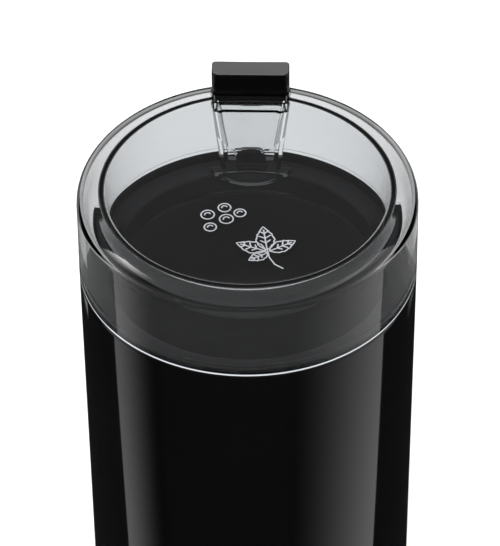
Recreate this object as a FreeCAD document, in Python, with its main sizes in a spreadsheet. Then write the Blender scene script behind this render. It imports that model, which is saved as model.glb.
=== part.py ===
import FreeCAD, Part
import os
import re
import Sketcher

# Electric spice grinder with a lift-off clear lid and a push button in the lid.
# Origin: middle of the underside, on the floor. Front is -Y, the button stands at the back, +Y.

doc = FreeCAD.newDocument("spice_grinder")
sheet = doc.addObject("Spreadsheet::Sheet", "Sizes")

# Driving sizes, in millimetres.
values = {
    # Housing: a slightly drafted round shell, open below, with a ledge for the bowl near its top.
    "foot_height": 2.0,
    "deck_height": 138.0,
    "top_radius": 44.0,
    "housing_draft": 1.3,
    "housing_wall": 2.8,
    "ledge_width": 1.6,
    "ledge_thick": 2.4,
    "rim_height": 2.2,
    "rim_wall": 1.0,
    "edge_round": 0.8,
    "boss_radius": 4.8,
    "boss_sink": 0.7,
    "boss_height": 26.0,
    "screw_hole": 1.3,
    "running_gap": 0.3,
    "fit_gap": 0.1,
    # Grinding bowl: straight upper wall, bowl-shaped floor, shaft tower in the middle.
    "flange_thick": 2.2,
    "gasket_thick": 0.8,
    "gasket_width": 0.6,
    "bar_room": 3.7,
    "mouth_step": 1.5,
    "mouth_depth": 7.0,
    "bowl_wall": 1.6,
    "bowl_depth": 44.0,
    "floor_run": 12.4,
    "floor_rise": 8.0,
    "floor_fillet": 10.0,
    "corner_cut": 3.0,
    "tower_radius": 7.0,
    "tower_draft": 1.0,
    "tower_height": 3.0,
    "seal_wall": 1.4,
    "boss_drop": 2.0,
    "mount_circle": 15.0,
    "mount_radius": 4.0,
    "mount_length": 6.2,
    "mount_count": 4,
    # Lid: outer wall, inner skirt and top plate in one clear moulding.
    "lid_height": 26.7,
    "lid_wall": 2.0,
    "lid_plate": 2.4,
    "lid_shoulder": 5.2,
    "lid_step": 3.0,
    "lid_seat_gap": 0.1,
    "skirt_gap": 0.5,
    "skirt_wall": 1.7,
    "skirt_drop": 5.5,
    "skirt_draft": 0.5,
    "lid_inner_round": 1.5,
    # Plunger channel moulded between the lid's two walls, and its shelf over the bowl's mouth.
    "channel_top": 9.3,
    "channel_bottom": 6.8,
    "channel_wall": 1.1,
    "channel_backing": 0.8,
    "shelf_depth": 6.7,
    "shelf_radius": 12.5,
    "shelf_thick": 1.4,
    # Push button: black cap, with a clear plunger below it.
    "cap_width": 20.4,
    "cap_lip": 0.7,
    "cap_inset": 1.4,
    "cap_rise": 7.3,
    "cap_sink": 3.2,
    "cap_round": 1.4,
    "hollow_radius": 34.0,
    "hollow_depth": 0.9,
    "cap_gap": 0.3,
    "button_travel": 3.0,
    "plunger_thick": 2.6,
    "plunger_side_gap": 0.7,
    "tip_width": 8.0,
    "tip_reach": 0.7,
    "flute_width": 5.0,
    "flute_depth": 0.5,
    # Switch: bar behind the bowl, lever and snap switch on a bracket.
    "bar_width": 6.0,
    "bar_thick": 1.2,
    "bar_sink": 1.0,
    "slot_gap": 0.4,
    "lever_rise": 4.4,
    "lever_thick": 0.8,
    "lever_width": 6.0,
    "pin_radius": 0.8,
    "case_width": 16.0,
    "case_depth": 7.4,
    "case_height": 15.6,
    "case_hang": 9.0,
    "ear_thick": 1.6,
    "terminal_length": 6.5,
    "terminal_thick": 0.8,
    "terminal_inset": 1.5,
    "bracket_wall": 0.9,
    # Motor, from the lower bearing up.
    "cord_room": 20.4,
    "shaft_radius": 2.5,
    "shaft_tail": 5.0,
    "bearing_radius": 6.0,
    "bearing_length": 6.0,
    "bearing_crown": 1.2,
    "bearing_gap": 0.05,
    "bracket_inset": 15.5,
    "bracket_thick": 2.2,
    "cup_wall": 1.5,
    "window_web": 4.4,
    "window_margin": 8.5,
    "commutator_radius": 9.0,
    "commutator_rise": 6.0,
    "commutator_length": 8.0,
    "commutator_slot": 0.6,
    "core_slot": 2.2,
    "air_gap": 0.5,
    "winding_inset": 3.3,
    "winding_end": 4.5,
    "winding_gap": 2.5,
    "field_inset": 1.5,
    "field_depth": 12.5,
    "coil_width": 5.5,
    "coil_clear": 0.8,
    "coil_cover": 1.5,
    "coil_side": 4.4,
    "coil_end": 5.5,
    "coil_gap": 0.3,
    "fan_clear": 0.6,
    "fan_hub": 5.0,
    "fan_height": 6.0,
    "fan_blade": 1.2,
    "fan_gap": 1.4,
    "motor_screw_inset": 5.4,
    "motor_screw_radius": 1.5,
    "screw_head_radius": 2.9,
    "screw_head_height": 2.0,
    "brush_width": 6.0,
    "brush_height": 5.0,
    "brush_length": 9.0,
    "brush_gap": 0.1,
    "spring_gap": 0.4,
    "spring_wire": 0.8,
    "holder_wall": 1.2,
    "holder_gap": 2.0,
    "holder_inset": 4.0,
    "window_count": 4,
    "slot_count": 10,
    "fan_count": 10,
    # Blade: one steel strip, formed and ground.
    "blade_gap": 7.4,
    "blade_width": 12.0,
    "blade_tip_width": 7.0,
    "blade_thick": 1.5,
    "blade_flat": 8.0,
    "wing_rise": 7.0,
    "wing_low": 1.6,
    "bevel_width": 1.1,
    "thread_radius": 1.9,
    "nut_round": 1.0,
    "nut_radius": 5.2,
    "nut_height": 5.5,
    "nut_end": 1.0,
    "seal_height": 0.9,
    "seal_lip": 1.0,
    # Base cover, feet and cord entry.
    "cover_thick": 2.6,
    "cover_gap": 0.25,
    "head_sink": 1.6,
    "screw_bite": 10.0,
    "vent_width": 3.0,
    "vent_inner": 9.0,
    "vent_outer": 18.5,
    "vent_count": 16,
    "rib_radius": 21.0,
    "rib_wall": 1.5,
    "rib_height": 4.0,
    "foot_inset": 8.9,
    "foot_radius": 6.0,
    "foot_sink": 0.8,
    "stem_radius": 1.8,
    "stem_height": 1.7,
    "inlet_height": 15.0,
    "inlet_bore": 3.6,
    "inlet_neck": 5.2,
    "inlet_flange": 7.0,
    "inlet_lip": 1.4,
    "collar_proud": 1.1,
    "clamp_width": 22.0,
    "clamp_depth": 7.0,
    "clamp_y": 28.0,
    "clamp_height": 5.4,
    "clamp_screw_x": 8.0,
    "clamp_bite": 5.0,
    "post_radius": 2.6,
    "post_bore": 6.0,
    "block_x": 24.0,
    "block_width": 9.0,
    "block_length": 16.0,
    "block_height": 9.0,
    "suppressor_height": 12.0,
}

# Heights and radii that several pieces share, each one following from the sizes.
places = {
    "cover_top": "foot_height + cover_thick",
    "flange_bottom": "deck_height - flange_thick",
    "ledge_top": "flange_bottom - gasket_thick",
    "bowl_floor": "deck_height - bowl_depth",
    "bowl_under": "bowl_floor - bowl_wall",
    "tower_top": "bowl_floor + tower_height",
    "lid_bottom": "deck_height + lid_seat_gap",
    "lid_top": "deck_height + lid_height",
    "mount_top": "bowl_under - boss_drop",
    "upper_seat": "mount_top - mount_length",
    "upper_bracket_z": "upper_seat - bracket_thick",
    "lower_bracket_z": "cover_top + cord_room",
    "commutator_bottom": "lower_bracket_z + commutator_rise",
    "fan_bottom": "upper_bracket_z - screw_head_height - fan_gap - fan_height",
    "core_bottom": "commutator_bottom + commutator_length + winding_gap + winding_end",
    "core_top": "fan_bottom - winding_gap - winding_end",
    "core_length": "core_top - core_bottom",
    "blade_z": "tower_top + seal_height + fit_gap",
    "nut_top": "blade_z + blade_thick + nut_height",
    "case_bottom": "upper_bracket_z - case_hang",
    "case_top": "case_bottom + case_height",
    "lever_pivot_z": "case_top + lever_rise",
    "bar_top": "deck_height - bar_sink",
    "bar_foot": "lever_pivot_z + lever_thick / 2 + running_gap",
    "bottom_radius": "top_radius - housing_draft",
    "inner_bottom": "bottom_radius - housing_wall",
    "inner_top": "top_radius - housing_wall",
    "inlet_outside": "bottom_radius + housing_draft"
                     " * (inlet_height - foot_height) / (deck_height - foot_height)",
    "grommet_face": "inlet_outside + collar_proud",
    "boss_circle": "inner_bottom - boss_radius + boss_sink",
    "foot_circle": "inner_bottom - foot_inset",
    "mouth_radius": "inner_top - bar_room - bowl_wall",
    "bowl_radius": "mouth_radius - mouth_step",
    "floor_radius": "bowl_radius - floor_run",
    "skirt_radius": "mouth_radius - skirt_gap",
    "shelf_reach": "skirt_radius - shelf_depth",
    "channel_front": "skirt_radius + channel_wall",
    "channel_back": "top_radius - lid_wall - channel_backing",
    "cap_front": "channel_front - cap_lip",
    "cap_back": "top_radius - cap_inset",
    "plunger_middle": "mouth_radius + bowl_wall + running_gap + bar_thick / 2",
    "bracket_radius": "top_radius - bracket_inset",
    "motor_screw_circle": "bracket_radius - motor_screw_inset",
    "window_inner": "bearing_radius + fit_gap + cup_wall + window_web",
    "window_outer": "bracket_radius - window_margin",
    "holder_end": "bracket_radius - holder_inset",
    "fan_radius": "motor_screw_circle - motor_screw_radius - fan_clear",
    "field_radius": "bracket_radius - field_inset",
    "core_radius": "field_radius - field_depth",
    "winding_radius": "core_radius - winding_inset",
    "coil_near": "winding_radius + coil_clear",
    "coil_far": "coil_near + coil_width",
    "coil_half": "sqrt((field_radius - coil_cover)^2 - coil_far^2)",
    "blade_reach": "bowl_radius - blade_gap",
    "case_front": "bracket_radius + fit_gap + bracket_wall",
    "case_back": "case_front + case_depth",
    "lever_pivot_y": "case_front + pin_radius * 2",
    "lever_end": "plunger_middle + bar_thick / 2 - fit_gap",
}
for row, (alias, value) in enumerate(values.items(), 1):
    sheet.set(f"A{row}", str(value))
    sheet.setAlias(f"A{row}", alias)
doc.recompute()

words = re.compile(r"\b[a-z]\w*")


def expr(text):
    """Spells out the shared places and points every size at its cell."""
    def spell(match):
        word = match.group(0)
        if word in places:
            return f"({expr(places[word])})"
        return f"Sizes.{word}" if word in values else word
    return words.sub(spell, str(text))


def size(text):
    return float(sheet.evalExpression(expr(text)))


def new_body(label):
    body = doc.addObject("PartDesign::Body", label)
    body.Label = label
    body.AllowCompound = True
    return body


def new_sketch(body, role, at="0"):
    """Sketch on a plane of the body's origin, moved to the world height AT along that plane's normal."""
    sketch = body.newObject("Sketcher::SketchObject", body.Label + "_sketch")
    plane = next(item for item in body.Origin.OriginFeatures if item.Role == role)
    sketch.AttachmentSupport = (plane, "")
    sketch.MapMode = "FlatFace"
    sign = "-" if role == "XZ_Plane" else ""
    sketch.setExpression("AttachmentOffset.Base.z", expr(f"{sign}({at})"))
    return sketch


def drive(sketch, kind, place, text):
    index = sketch.addConstraint(Sketcher.Constraint(kind, *place, size(text)))
    sketch.setExpression(f"Constraints[{index}]", expr(text))


def polygon(body, role, points, at="0"):
    """Closed outline through the points, each one held by two driven distances from the origin."""
    sketch = new_sketch(body, role, at)
    corners = [FreeCAD.Vector(size(across), size(up), 0) for across, up in points]
    count = len(corners)
    for i in range(count):
        sketch.addGeometry(Part.LineSegment(corners[i], corners[(i + 1) % count]), False)
    for i in range(count):
        sketch.addConstraint(Sketcher.Constraint("Coincident", i, 2, (i + 1) % count, 1))
    for i, (across, up) in enumerate(points):
        drive(sketch, "DistanceX", (i, 1), across)
        drive(sketch, "DistanceY", (i, 1), up)
    doc.recompute()
    return sketch


def rectangle(body, role, left, right, low, high, at="0"):
    return polygon(body, role, [(left, low), (right, low), (right, high), (left, high)], at)


def circles(body, role, centres, *radii, at="0"):
    """One circle, or two concentric ones, about each centre."""
    sketch = new_sketch(body, role, at)
    for across, up in centres:
        for radius in radii:
            middle = FreeCAD.Vector(size(across), size(up), 0)
            curve = Part.Circle(middle, FreeCAD.Vector(0, 0, 1), size(radius))
            index = sketch.addGeometry(curve, False)
            drive(sketch, "Radius", (index,), radius)
            drive(sketch, "DistanceX", (index, 3), across)
            drive(sketch, "DistanceY", (index, 3), up)
    doc.recompute()
    return sketch


def finish(body, feature):
    doc.recompute()
    body.Tip = feature
    return feature


def pad(body, sketch, length, reverse=False, middle=False):
    feature = body.newObject("PartDesign::Pad", body.Label + "_pad")
    feature.Profile = sketch
    feature.setExpression("Length", expr(length))
    feature.Reversed = reverse
    if middle:
        feature.SideType = "Symmetric"
    return finish(body, feature)


def must_cut(body, before, feature):
    finish(body, feature)
    if feature.Shape.Volume > before - 1e-3:
        raise RuntimeError(f"{body.Label}: {feature.Name} cuts nothing")
    return feature


def pocket(body, sketch, length, reverse=False, middle=False):
    before = body.Shape.Volume
    feature = body.newObject("PartDesign::Pocket", body.Label + "_pocket")
    feature.Profile = sketch
    feature.setExpression("Length", expr(length))
    feature.Reversed = reverse
    if middle:
        feature.SideType = "Symmetric"
    return must_cut(body, before, feature)


def spin(body, points):
    """Turned form about the Z axis, from an outline of radius and height."""
    feature = body.newObject("PartDesign::Revolution", body.Label + "_turn")
    sketch = polygon(body, "XZ_Plane", points)
    feature.Profile = sketch
    feature.ReferenceAxis = (sketch, ["V_Axis"])
    feature.Angle = 360
    return finish(body, feature)


def groove(body, points):
    before = body.Shape.Volume
    feature = body.newObject("PartDesign::Groove", body.Label + "_groove")
    sketch = polygon(body, "XZ_Plane", points)
    feature.Profile = sketch
    feature.ReferenceAxis = (sketch, ["V_Axis"])
    feature.Angle = 360
    return must_cut(body, before, feature)


def around(body, feature, count):
    """Repeats a feature about the Z axis."""
    pattern = body.newObject("PartDesign::PolarPattern", body.Label + "_pattern")
    axis = next(item for item in body.Origin.OriginFeatures if item.Role == "Z_Axis")
    pattern.Originals = [feature]
    pattern.Axis = (axis, [""])
    pattern.Angle = 360
    pattern.setExpression("Occurrences", expr(count))
    return finish(body, pattern)


def dress(body, kind, radius, wanted):
    """Fillet or chamfer on the edges of the tip that the test picks."""
    base = body.Tip
    names = [f"Edge{i}" for i, edge in enumerate(base.Shape.Edges, 1) if wanted(edge)]
    if not names:
        raise RuntimeError(f"{body.Label}: no edge to round")
    feature = body.newObject(f"PartDesign::{kind}", f"{body.Label}_{kind.lower()}")
    feature.Base = (base, names)
    feature.setExpression("Radius" if kind == "Fillet" else "Size", expr(radius))
    return finish(body, feature)


def ring_edge(radius, height):
    """Test for a whole circle about the Z axis with this radius at this height."""
    def wanted(edge):
        box = edge.BoundBox
        level = abs(box.ZMin - size(height)) < 0.01 and box.ZLength < 0.01
        return level and abs(box.XMax - size(radius)) < 0.01 and abs(box.XMin + size(radius)) < 0.01
    return wanted


def upright_edge(edge):
    box = edge.BoundBox
    return box.XLength < 0.01 and box.YLength < 0.01 and box.ZLength > 0.5


def spots(count, radius, start=0.0):
    """Places evenly spaced on a circle, as expressions."""
    turns = [start + 360.0 * i / count for i in range(count)]
    return [(f"({radius}) * cos({turn})", f"({radius}) * sin({turn})") for turn in turns]


centre = [("0", "0")]
slot_sides = ("-tip_width / 2 - slot_gap", "tip_width / 2 + slot_gap",
              "plunger_middle - plunger_thick / 2 - slot_gap",
              "plunger_middle + plunger_thick / 2 + slot_gap")
boss_spots = spots(4, "boss_circle", 45.0)
foot_spots = spots(4, "foot_circle", 0.0)
mount_spots = spots(int(values["mount_count"]), "mount_circle", 45.0)
motor_screw_spots = [("0", "motor_screw_circle"), ("0", "-motor_screw_circle")]
lever_axis = [("lever_pivot_y", "lever_pivot_z")]
clamp_spots = [("-clamp_screw_x", "clamp_y"), ("clamp_screw_x", "clamp_y")]


def make_housing():
    body = new_body("housing")
    spin(body, [
        ("bottom_radius", "foot_height"),
        ("top_radius", "deck_height"),
        ("inner_top + rim_wall", "deck_height"),
        ("inner_top + rim_wall", "deck_height + rim_height"),
        ("inner_top", "deck_height + rim_height"),
        ("inner_top", "ledge_top"),
        ("inner_top - ledge_width", "ledge_top"),
        ("inner_top - ledge_width", "ledge_top - ledge_thick / 2"),
        ("inner_top", "ledge_top - ledge_thick"),
        ("inner_bottom", "foot_height"),
    ])
    dress(body, "Fillet", "edge_round", ring_edge("top_radius", "deck_height"))
    dress(body, "Fillet", "edge_round", ring_edge("bottom_radius", "foot_height"))
    # Screw bosses run up the wall from just above the base cover.
    bosses = circles(body, "XY_Plane", boss_spots, "boss_radius", "screw_hole", at="cover_top + fit_gap")
    pad(body, bosses, "boss_height")
    # Cord entry through the back wall.
    entry = circles(body, "XZ_Plane", [("0", "inlet_height")], "inlet_neck", at="inlet_outside + inlet_lip")
    pocket(body, entry, "housing_wall + inlet_lip * 2", reverse=True)
    # The plunger's tip and the switch bar pass the ledge at the back.
    notch = rectangle(body, "XY_Plane", *slot_sides, at="ledge_top")
    pocket(body, notch, "ledge_thick + slot_gap")
    return body


def make_bowl():
    body = new_body("grinding_bowl")
    rim = "inner_top - fit_gap"
    slope = "atan(floor_rise / (bowl_radius - floor_radius))"
    wall_corner = "bowl_floor + floor_rise"
    outer_corner = f"{wall_corner} - bowl_wall * tan((90 deg - {slope}) / 2)"
    outer_floor = f"floor_radius + bowl_wall * tan({slope} / 2)"
    spin(body, [
        ("0", "bowl_under"),
        (outer_floor, "bowl_under"),
        ("bowl_radius + bowl_wall", outer_corner),
        ("bowl_radius + bowl_wall", "deck_height - mouth_depth - bowl_wall"),
        ("mouth_radius + bowl_wall", "deck_height - mouth_depth"),
        ("mouth_radius + bowl_wall", "flange_bottom"),
        (rim, "flange_bottom"),
        (rim, "deck_height"),
        ("0", "deck_height"),
    ])
    # Four bosses under the floor carry the motor.
    bosses = circles(body, "XY_Plane", mount_spots, "mount_radius", at="mount_top")
    pad(body, bosses, "floor_rise + boss_drop")
    groove(body, [
        ("0", "tower_top"),
        ("tower_radius - tower_draft", "tower_top"),
        ("tower_radius", "bowl_floor"),
        ("floor_radius", "bowl_floor"),
        ("bowl_radius", wall_corner),
        ("bowl_radius", "deck_height - mouth_depth"),
        ("mouth_radius", "deck_height - mouth_depth"),
        ("mouth_radius", "deck_height"),
        ("0", "deck_height"),
    ])
    dress(body, "Fillet", "floor_fillet", ring_edge("bowl_radius", wall_corner))
    dress(body, "Fillet", "floor_fillet", ring_edge("floor_radius", "bowl_floor"))
    dress(body, "Chamfer", "corner_cut", ring_edge("bowl_radius + bowl_wall", outer_corner))
    bore = circles(body, "XY_Plane", centre, "shaft_radius + seal_wall", at="tower_top")
    pocket(body, bore, "tower_height + bowl_wall + boss_drop")
    holes = circles(body, "XY_Plane", mount_spots, "screw_hole", at="mount_top")
    pocket(body, holes, "boss_drop + bowl_wall", reverse=True)
    # Slot in the flange for the bar, deep enough for the plunger's tip at the end of its travel.
    slot = rectangle(body, "XY_Plane", *slot_sides, at="deck_height")
    pocket(body, slot, "tip_reach + button_travel + slot_gap")
    return body


def make_gasket():
    body = new_body("bowl_gasket")
    spin(body, [
        ("inner_top - gasket_width", "ledge_top"),
        ("inner_top - fit_gap", "ledge_top"),
        ("inner_top - fit_gap", "flange_bottom"),
        ("inner_top - gasket_width", "flange_bottom"),
    ])
    return body


def make_lid():
    """Outer wall, top plate and inner skirt turned as one; channel, shelf and button well added."""
    body = new_body("lid_shell")
    inner = "top_radius - lid_wall"
    under = "lid_top - lid_plate"
    spin(body, [
        ("0", "lid_top"),
        ("top_radius", "lid_top"),
        ("top_radius", "lid_bottom"),
        (inner, "lid_bottom"),
        (inner, under),
        ("skirt_radius", under),
        ("skirt_radius - skirt_draft", "deck_height - skirt_drop"),
        ("skirt_radius - skirt_wall", "deck_height - skirt_drop"),
        ("skirt_radius - skirt_wall", under),
        ("0", under),
    ])
    dress(body, "Fillet", "lid_shoulder", ring_edge("top_radius", "lid_top"))
    dress(body, "Fillet", "lid_inner_round", ring_edge(inner, under))
    dress(body, "Fillet", "lid_inner_round", ring_edge("skirt_radius - skirt_wall", under))
    # Channel block between the walls, tapering downwards.
    block = polygon(body, "XZ_Plane", [
        ("-channel_top - channel_wall", "lid_top - cap_sink"),
        ("channel_top + channel_wall", "lid_top - cap_sink"),
        ("channel_bottom + channel_wall", "lid_bottom"),
        ("-channel_bottom - channel_wall", "lid_bottom"),
    ], at=inner)
    pad(body, block, f"{inner} - skirt_radius + skirt_wall / 2")
    # Rounded shelf that keeps the bowl's contents away from the channel.
    pad(body, shelf_outline(body), "shelf_thick")
    # Well for the cap, open at the top.
    well = cap_outline(body, "cap_gap", "lid_top")
    pocket(body, well, "cap_sink + button_travel + cap_gap")
    channel = polygon(body, "XZ_Plane", [
        ("-channel_top", "lid_top - cap_sink"),
        ("channel_top", "lid_top - cap_sink"),
        ("channel_bottom", "lid_bottom"),
        ("-channel_bottom", "lid_bottom"),
    ], at="channel_back")
    pocket(body, channel, "channel_back - channel_front", reverse=True)
    # Rebate that drops over the housing's rim.
    groove(body, [
        ("inner_top - running_gap", "lid_bottom"),
        ("inner_top + rim_wall + running_gap", "lid_bottom"),
        ("inner_top + rim_wall + running_gap", "lid_bottom + lid_step"),
        ("inner_top - running_gap", "lid_bottom + lid_step"),
    ])
    return body


def shelf_outline(body):
    """Round-nosed plan, straight at the back."""
    sketch = new_sketch(body, "XY_Plane", "lid_bottom")
    half = "sqrt(shelf_radius^2 - (shelf_reach + shelf_radius - channel_front)^2)"
    left = FreeCAD.Vector(-size(half), size("channel_front"), 0)
    right = FreeCAD.Vector(size(half), size("channel_front"), 0)
    nose = FreeCAD.Vector(0, size("shelf_reach"), 0)
    sketch.addGeometry(Part.Arc(left, nose, right), False)
    sketch.addGeometry(Part.LineSegment(right, left), False)
    sketch.addConstraint(Sketcher.Constraint("Coincident", 0, 2, 1, 1))
    sketch.addConstraint(Sketcher.Constraint("Coincident", 1, 2, 0, 1))
    sketch.addConstraint(Sketcher.Constraint("PointOnObject", 0, 3, -2))
    sketch.addConstraint(Sketcher.Constraint("Horizontal", 1))
    drive(sketch, "Radius", (0,), "shelf_radius")
    drive(sketch, "DistanceY", (0, 3), "shelf_reach + shelf_radius")
    drive(sketch, "DistanceY", (1, 1), "channel_front")
    doc.recompute()
    return sketch


def cap_outline(body, spread, height):
    """Cap plan: straight front and sides, and a back concentric with the lid."""
    sketch = new_sketch(body, "XY_Plane", height)
    half = f"(cap_width / 2 + {spread})"
    front = f"cap_front - {spread}"
    back = f"(cap_back + {spread})"
    side = f"sqrt({back}^2 - {half}^2)"
    corners = [(f"-{half}", front), (half, front), (half, side), (f"-{half}", side)]
    spot = [FreeCAD.Vector(size(across), size(up), 0) for across, up in corners]
    top = FreeCAD.Vector(0, size(back), 0)
    sketch.addGeometry(Part.LineSegment(spot[0], spot[1]), False)
    sketch.addGeometry(Part.LineSegment(spot[1], spot[2]), False)
    sketch.addGeometry(Part.Arc(spot[2], top, spot[3]), False)
    sketch.addGeometry(Part.LineSegment(spot[3], spot[0]), False)
    sketch.addConstraint(Sketcher.Constraint("Coincident", 0, 2, 1, 1))
    sketch.addConstraint(Sketcher.Constraint("Coincident", 1, 2, 2, 1))
    sketch.addConstraint(Sketcher.Constraint("Coincident", 2, 2, 3, 1))
    sketch.addConstraint(Sketcher.Constraint("Coincident", 3, 2, 0, 1))
    drive(sketch, "DistanceX", (0, 1), corners[0][0])
    drive(sketch, "DistanceY", (0, 1), front)
    drive(sketch, "DistanceX", (0, 2), half)
    drive(sketch, "DistanceY", (0, 2), front)
    drive(sketch, "DistanceX", (1, 2), half)
    drive(sketch, "DistanceX", (3, 1), corners[3][0])
    sketch.addConstraint(Sketcher.Constraint("Coincident", 2, 3, -1, 1))
    drive(sketch, "Radius", (2,), back)
    doc.recompute()
    return sketch


def make_cap():
    body = new_body("button_cap")
    low = "lid_top - cap_sink"
    high = "lid_top + cap_rise"
    pad(body, cap_outline(body, "0", low), f"{high} - ({low})")
    dress(body, "Fillet", "cap_round", upright_edge)
    # Finger hollow across the top.
    middle = f"{high} + hollow_radius - hollow_depth"
    hollow = circles(body, "XZ_Plane", [("0", middle)], "hollow_radius", at="cap_back")
    pocket(body, hollow, "cap_back - cap_front + cap_gap", reverse=True)
    return body


def make_plunger():
    body = new_body("button_plunger")
    top = "lid_top - cap_sink"
    shoulder = "deck_height + button_travel + running_gap"
    shape = polygon(body, "XZ_Plane", [
        ("-channel_top + plunger_side_gap", top),
        ("channel_top - plunger_side_gap", top),
        ("channel_bottom - plunger_side_gap", shoulder),
        ("tip_width / 2", shoulder),
        ("tip_width / 2", "deck_height - tip_reach"),
        ("-tip_width / 2", "deck_height - tip_reach"),
        ("-tip_width / 2", shoulder),
        ("-channel_bottom + plunger_side_gap", shoulder),
    ], at="plunger_middle + plunger_thick / 2")
    pad(body, shape, "plunger_thick")
    # A shallow flute down the front face.
    flute = rectangle(body, "XZ_Plane", "-flute_width / 2", "flute_width / 2",
                      f"{shoulder} + flute_width / 2", f"{top} - flute_width / 2",
                      at="plunger_middle - plunger_thick / 2")
    pocket(body, flute, "flute_depth")
    return body


def make_bar():
    """Switch bar: slides behind the bowl and carries the push down to the lever."""
    body = new_body("switch_bar")
    front = "plunger_middle - bar_thick / 2"
    shape = polygon(body, "XZ_Plane", [
        ("-bar_width / 2", "bar_foot"),
        ("bar_width / 2", "bar_foot"),
        ("bar_width / 2", "bar_top"),
        ("-bar_width / 2", "bar_top"),
    ], at=f"{front} + bar_thick")
    pad(body, shape, "bar_thick")
    window = rectangle(body, "XZ_Plane", "-bar_width / 4", "bar_width / 4",
                       "bar_foot + bar_width * 2", "bar_top - bar_width * 2", at=front)
    pocket(body, window, "bar_thick")
    return body


def make_lever():
    body = new_body("switch_lever")
    shape = polygon(body, "YZ_Plane", [
        ("lever_pivot_y", "lever_pivot_z - lever_thick / 2"),
        ("lever_end", "lever_pivot_z - lever_thick / 2"),
        ("lever_end", "lever_pivot_z + lever_thick / 2"),
        ("lever_pivot_y", "lever_pivot_z + lever_thick / 2"),
    ])
    pad(body, shape, "lever_width", middle=True)
    knuckle = circles(body, "YZ_Plane", lever_axis, "pin_radius * 2", at="-lever_width / 2")
    pad(body, knuckle, "lever_width")
    bore = circles(body, "YZ_Plane", lever_axis, "pin_radius + bearing_gap", at="lever_width / 2")
    pocket(body, bore, "lever_width")
    return body


def make_lever_pin():
    body = new_body("lever_pin")
    pin = circles(body, "YZ_Plane", lever_axis, "pin_radius", at="-lever_width / 2 - running_gap - ear_thick")
    pad(body, pin, "lever_width + 2 * running_gap + 2 * ear_thick")
    return body


def make_switch_case():
    body = new_body("switch_case")
    block = rectangle(body, "XY_Plane", "-case_width / 2", "case_width / 2", "case_front", "case_back",
                      at="case_bottom")
    pad(body, block, "case_top - case_bottom")
    dress(body, "Chamfer", "edge_round", upright_edge)
    # Two ears hold the lever's pin.
    ears = ["-lever_width / 2 - running_gap - ear_thick", "lever_width / 2 + running_gap"]
    for left in ears:
        ear = polygon(body, "YZ_Plane", [
            ("case_front", "case_top - ear_thick"),
            ("lever_pivot_y + pin_radius * 3", "case_top - ear_thick"),
            ("lever_pivot_y + pin_radius * 2", "lever_pivot_z + pin_radius * 2"),
            ("case_front", "lever_pivot_z + pin_radius * 2"),
        ], at=left)
        pad(body, ear, "ear_thick")
    bore = circles(body, "YZ_Plane", lever_axis, "pin_radius + bearing_gap", at="case_width / 2")
    pocket(body, bore, "case_width")
    return body


def make_terminals():
    body = new_body("switch_terminals")
    for side in ("-1", "1"):
        left = f"{side} * case_width / 4 - terminal_thick / 2"
        blade = rectangle(body, "XY_Plane", left, f"{left} + terminal_thick",
                          "case_front + terminal_inset", "case_back - terminal_inset",
                          at="case_bottom - terminal_length")
        pad(body, blade, "terminal_length")
    return body


def make_switch_bracket():
    """Folded plate that hangs the switch on the upper motor bracket's edge."""
    body = new_body("switch_bracket")
    seat = "upper_seat"
    shape = polygon(body, "YZ_Plane", [
        ("bracket_radius - case_width / 2", seat),
        ("bracket_radius + fit_gap", seat),
        ("bracket_radius + fit_gap", "case_bottom + bracket_wall"),
        ("case_front", "case_bottom + bracket_wall"),
        ("case_front", f"{seat} + bracket_wall"),
        ("bracket_radius - case_width / 2", f"{seat} + bracket_wall"),
    ])
    pad(body, shape, "case_width - 2 * ear_thick", middle=True)
    hole = circles(body, "XY_Plane", [("0", "motor_screw_circle")], "motor_screw_radius + fit_gap",
                   at=f"{seat} + bracket_wall")
    pocket(body, hole, "bracket_wall")
    return body


def make_shaft():
    body = new_body("motor_shaft")
    low = "lower_bracket_z - shaft_tail"
    spin(body, [
        ("0", low),
        ("shaft_radius - edge_round / 2", low),
        ("shaft_radius", f"{low} + edge_round / 2"),
        ("shaft_radius", "blade_z"),
        ("thread_radius", "blade_z"),
        ("thread_radius", "nut_top - nut_end"),
        ("0", "nut_top - nut_end"),
    ])
    return body


def make_bearing(label, middle):
    """Sintered bush, barrel-shaped outside."""
    body = new_body(label)
    spin(body, [
        ("shaft_radius + bearing_gap", f"{middle} - bearing_length / 2"),
        ("bearing_radius - bearing_crown", f"{middle} - bearing_length / 2"),
        ("bearing_radius", f"{middle} - bearing_length / 5"),
        ("bearing_radius", f"{middle} + bearing_length / 5"),
        ("bearing_radius - bearing_crown", f"{middle} + bearing_length / 2"),
        ("shaft_radius + bearing_gap", f"{middle} + bearing_length / 2"),
    ])
    return body


def make_bracket(label, low, holes):
    """Pressed end plate: bearing cup in the middle, windows for the air between four arms."""
    body = new_body(label)
    spin(body, [
        ("bearing_radius + fit_gap", low),
        ("bracket_radius", low),
        ("bracket_radius", f"{low} + bracket_thick"),
        ("bearing_radius + fit_gap + cup_wall", f"{low} + bracket_thick"),
        ("bearing_radius + fit_gap + cup_wall", f"{low} + bracket_thick / 2 + bearing_length / 2"),
        ("bearing_radius + fit_gap", f"{low} + bracket_thick / 2 + bearing_length / 2"),
    ])
    window = circles(body, "XY_Plane", [("(window_inner + window_outer) / 2", "0")],
                     "(window_outer - window_inner) / 2", at=f"{low} + bracket_thick")
    cut = pocket(body, window, "bracket_thick")
    around(body, cut, "window_count")
    drill = circles(body, "XY_Plane", holes, "motor_screw_radius + fit_gap", at=f"{low} + bracket_thick")
    pocket(body, drill, "bracket_thick")
    return body


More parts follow.
